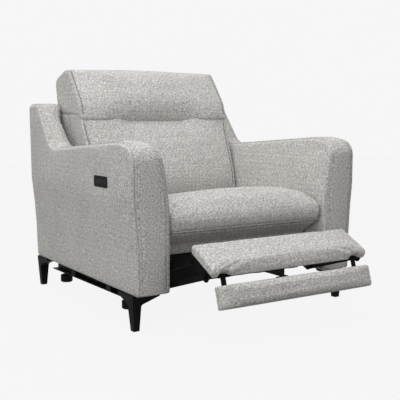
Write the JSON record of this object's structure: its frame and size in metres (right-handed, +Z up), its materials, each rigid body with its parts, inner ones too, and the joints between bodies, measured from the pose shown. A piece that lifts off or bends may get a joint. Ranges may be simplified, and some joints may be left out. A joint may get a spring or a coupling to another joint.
{
  "type": "power reclining snuggle chair",
  "caption": "Wide single-seat power recliner in grey woven fabric: footrest on an open linkage with a hinged second pad, reclining back, tilting headrest and switch buttons on one arm.",
  "frame": {"origin": "on the floor, under the middle of the bounding box, footrest half open", "axes": "+Z up, +Y towards the back of the chair, +X to the right as seen from the front; left and right in names are as seen from the front"},
  "size_m": [1.08, 1.3488, 0.9994],
  "materials": {
    "upholstery": "grey melange woven cloth",
    "frame_timber": "unfinished hardwood and plywood",
    "black_steel": "black painted steel",
    "black_plastic": "black moulded plastic",
    "deck_webbing": "black webbing deck"
  },
  "bodies": {
    "base": {"left_arm_cover": "upholstery", "right_arm_cover": "upholstery", "left_arm_frame": "frame_timber", "right_arm_frame": "frame_timber", "front_left_leg": "black_plastic", "front_right_leg": "black_plastic", "rear_left_leg": "black_plastic", "rear_right_leg": "black_plastic", "left_base_rail": "black_steel", "right_base_rail": "black_steel", "front_left_foot": "black_plastic", "front_right_foot": "black_plastic", "rear_left_foot": "black_plastic", "rear_right_foot": "black_plastic", "left_side_plate": "black_steel", "right_side_plate": "black_steel", "mid_cross_tube": "black_steel", "rear_cross_tube": "black_steel", "seat_front_rail": "upholstery", "seat_frame": "frame_timber", "seat_deck": "deck_webbing", "seat_cushion": "upholstery", "switch_bezel": "black_plastic", "footrest_motor": "black_plastic", "footrest_motor_rail": "black_steel", "recline_motor": "black_plastic", "recline_motor_rail": "black_steel"},
    "footrest_drive": {"drive_tube": "black_steel", "left_drive_link": "black_steel", "right_drive_link": "black_steel"},
    "rear_links": {"left_rear_link": "black_steel", "right_rear_link": "black_steel"},
    "carrier_links": {"left_carrier_link": "black_steel", "right_carrier_link": "black_steel"},
    "tie_links": {"left_tie_link": "black_steel", "right_tie_link": "black_steel"},
    "footrest": {"footrest_pad": "upholstery", "footrest_board": "frame_timber", "left_footrest_bracket": "black_steel", "right_footrest_bracket": "black_steel"},
    "flipper": {"flipper_pad": "upholstery", "flipper_board": "frame_timber", "left_flipper_bar": "black_steel", "right_flipper_bar": "black_steel"},
    "footrest_block": {"footrest_drive_block": "black_steel"},
    "back": {"back_cushion": "upholstery", "back_frame": "frame_timber", "back_panel": "upholstery", "left_back_bracket": "black_steel", "right_back_bracket": "black_steel", "recline_lever": "black_steel", "headrest_hinge_rod": "black_steel"},
    "headrest": {"headrest_plate": "black_steel", "headrest_cushion": "upholstery"},
    "recline_block": {"recline_drive_block": "black_steel"},
    "button_1": {"switch_button_1": "black_plastic"},
    "button_2": {"switch_button_2": "black_plastic"},
    "button_3": {"switch_button_3": "black_plastic"},
    "button_4": {"switch_button_4": "black_plastic"}
  },
  "joints": [
    {"name": "footrest_open", "type": "hinge", "parent": "base", "child": "footrest_drive", "pos_m": [0, -0.10686, 0.3315], "axis": [-1, 0, 0], "range_deg": [-65, 23]},
    {"name": "rear_link_pivot", "type": "hinge", "parent": "base", "child": "rear_links", "pos_m": [0, -0.03786, 0.3175], "axis": [-1, 0, 0], "range_deg": [-65, 23]},
    {"name": "carrier_pivot", "type": "hinge", "parent": "footrest_drive", "child": "carrier_links", "pos_m": [0, -0.19179, 0.18356], "axis": [-1, 0, 0], "range_deg": [-23, 65]},
    {"name": "tie_pivot", "type": "hinge", "parent": "footrest_drive", "child": "tie_links", "pos_m": [0, -0.28316, 0.14261], "axis": [-1, 0, 0], "range_deg": [-23, 65]},
    {"name": "footrest_pivot", "type": "hinge", "parent": "carrier_links", "child": "footrest", "pos_m": [0, -0.48179, 0.27356], "axis": [-1, 0, 0], "range_deg": [-65, 23]},
    {"name": "flipper_pivot", "type": "hinge", "parent": "footrest", "child": "flipper", "pos_m": [0, -0.59597, 0.23334], "axis": [-1, 0, 0], "range_deg": [-130, 46]},
    {"name": "footrest_block_slide", "type": "slide", "parent": "base", "child": "footrest_block", "axis": [0, -1, 0], "range_m": [-0.07497, 0.02659]},
    {"name": "back_recline", "type": "hinge", "parent": "base", "child": "back", "pos_m": [0, 0.32314, 0.345], "axis": [-1, 0, 0], "range_deg": [0, 30]},
    {"name": "recline_block_slide", "type": "slide", "parent": "base", "child": "recline_block", "axis": [0, -1, 0], "range_m": [0, 0.0467]},
    {"name": "headrest_tilt", "type": "hinge", "parent": "back", "child": "headrest", "pos_m": [0, 0.39814, 0.779], "axis": [1, 0, 0], "range_deg": [0, 25]},
    {"name": "button_1_press", "type": "slide", "parent": "base", "child": "button_1", "axis": [0.9996, -0.0288, 0], "range_m": [0, 0.0015], "stiffness_N_per_m": 600},
    {"name": "button_2_press", "type": "slide", "parent": "base", "child": "button_2", "axis": [0.9996, -0.0288, 0], "range_m": [0, 0.0015], "stiffness_N_per_m": 600},
    {"name": "button_3_press", "type": "slide", "parent": "base", "child": "button_3", "axis": [0.9996, -0.0288, 0], "range_m": [0, 0.0015], "stiffness_N_per_m": 600},
    {"name": "button_4_press", "type": "slide", "parent": "base", "child": "button_4", "axis": [0.9996, -0.0288, 0], "range_m": [0, 0.0015], "stiffness_N_per_m": 600}
  ],
  "couplings": [
    {"joint": "rear_link_pivot", "follows": "footrest_open", "ratio": 1},
    {"joint": "carrier_pivot", "follows": "footrest_open", "ratio": -1},
    {"joint": "tie_pivot", "follows": "footrest_open", "ratio": -1},
    {"joint": "footrest_pivot", "follows": "footrest_open", "ratio": 1},
    {"joint": "flipper_pivot", "follows": "footrest_open", "ratio": 2},
    {"joint": "footrest_block_slide", "follows": "footrest_open", "m_per_rad": 0.066},
    {"joint": "recline_block_slide", "follows": "back_recline", "m_per_rad": 0.089}
  ]
}
